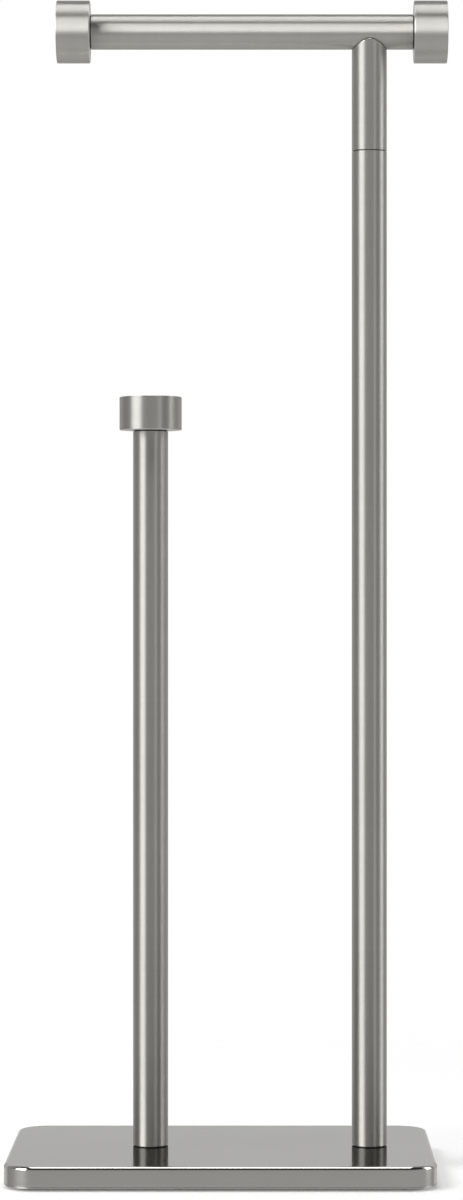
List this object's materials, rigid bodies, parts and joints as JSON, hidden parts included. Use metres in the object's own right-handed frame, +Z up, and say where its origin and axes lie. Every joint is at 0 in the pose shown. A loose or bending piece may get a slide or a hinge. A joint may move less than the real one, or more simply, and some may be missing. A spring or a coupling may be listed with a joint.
{
  "type": "toilet roll storage holder",
  "caption": "Free-standing toilet roll holder on a weighted plate: a tall post whose T-head arm carries the roll in use, beside a shorter post for spare rolls.",
  "frame": {"origin": "on the floor, under the centre of the base plate", "axes": "+Z up along the posts, +X to the right towards the tall post and -Y to the front, as the stand is pictured"},
  "size_m": [0.2238, 0.142, 0.6],
  "materials": {
    "nickel": "satin brushed nickel plating on steel",
    "zinc": "zinc-plated steel",
    "foam": "matt closed-cell foam rubber",
    "nylon": "matt black nylon"
  },
  "bodies": {
    "stand": {"base_plate": "nickel", "base_pad": "foam", "reserve_tube": "nickel", "reserve_foot_plug": "zinc", "reserve_foot_washer": "zinc", "reserve_foot_screw": "zinc", "reserve_end_plug": "zinc", "reserve_cap_stud": "zinc", "reserve_cap": "nickel", "post_tube": "nickel", "post_foot_plug": "zinc", "post_foot_washer": "zinc", "post_foot_screw": "zinc", "post_top_plug": "zinc"},
    "seam": {"seam_ring": "nylon"},
    "head": {"head_stud": "zinc", "neck_plug": "zinc", "neck_tube": "nickel", "saddle_plug": "zinc", "arm_screw": "zinc", "arm_nut": "zinc", "arm_tube": "nickel", "left_end_plug": "zinc", "left_cap_stud": "zinc", "left_cap": "nickel", "right_end_plug": "zinc", "right_cap_stud": "zinc", "right_cap": "nickel"}
  },
  "joints": [
    {"name": "head_turn", "type": "hinge", "parent": "stand", "child": "seam", "pos_m": [0.0759, 0, 0.5223], "axis": [0, 0, 1], "range_deg": [0, 3456]},
    {"name": "head_lift", "type": "slide", "parent": "seam", "child": "head", "axis": [0, 0, 1], "range_m": [0, 0.012]}
  ],
  "couplings": [
    {"joint": "head_lift", "follows": "head_turn", "m_per_rad": 0.00019894}
  ]
}
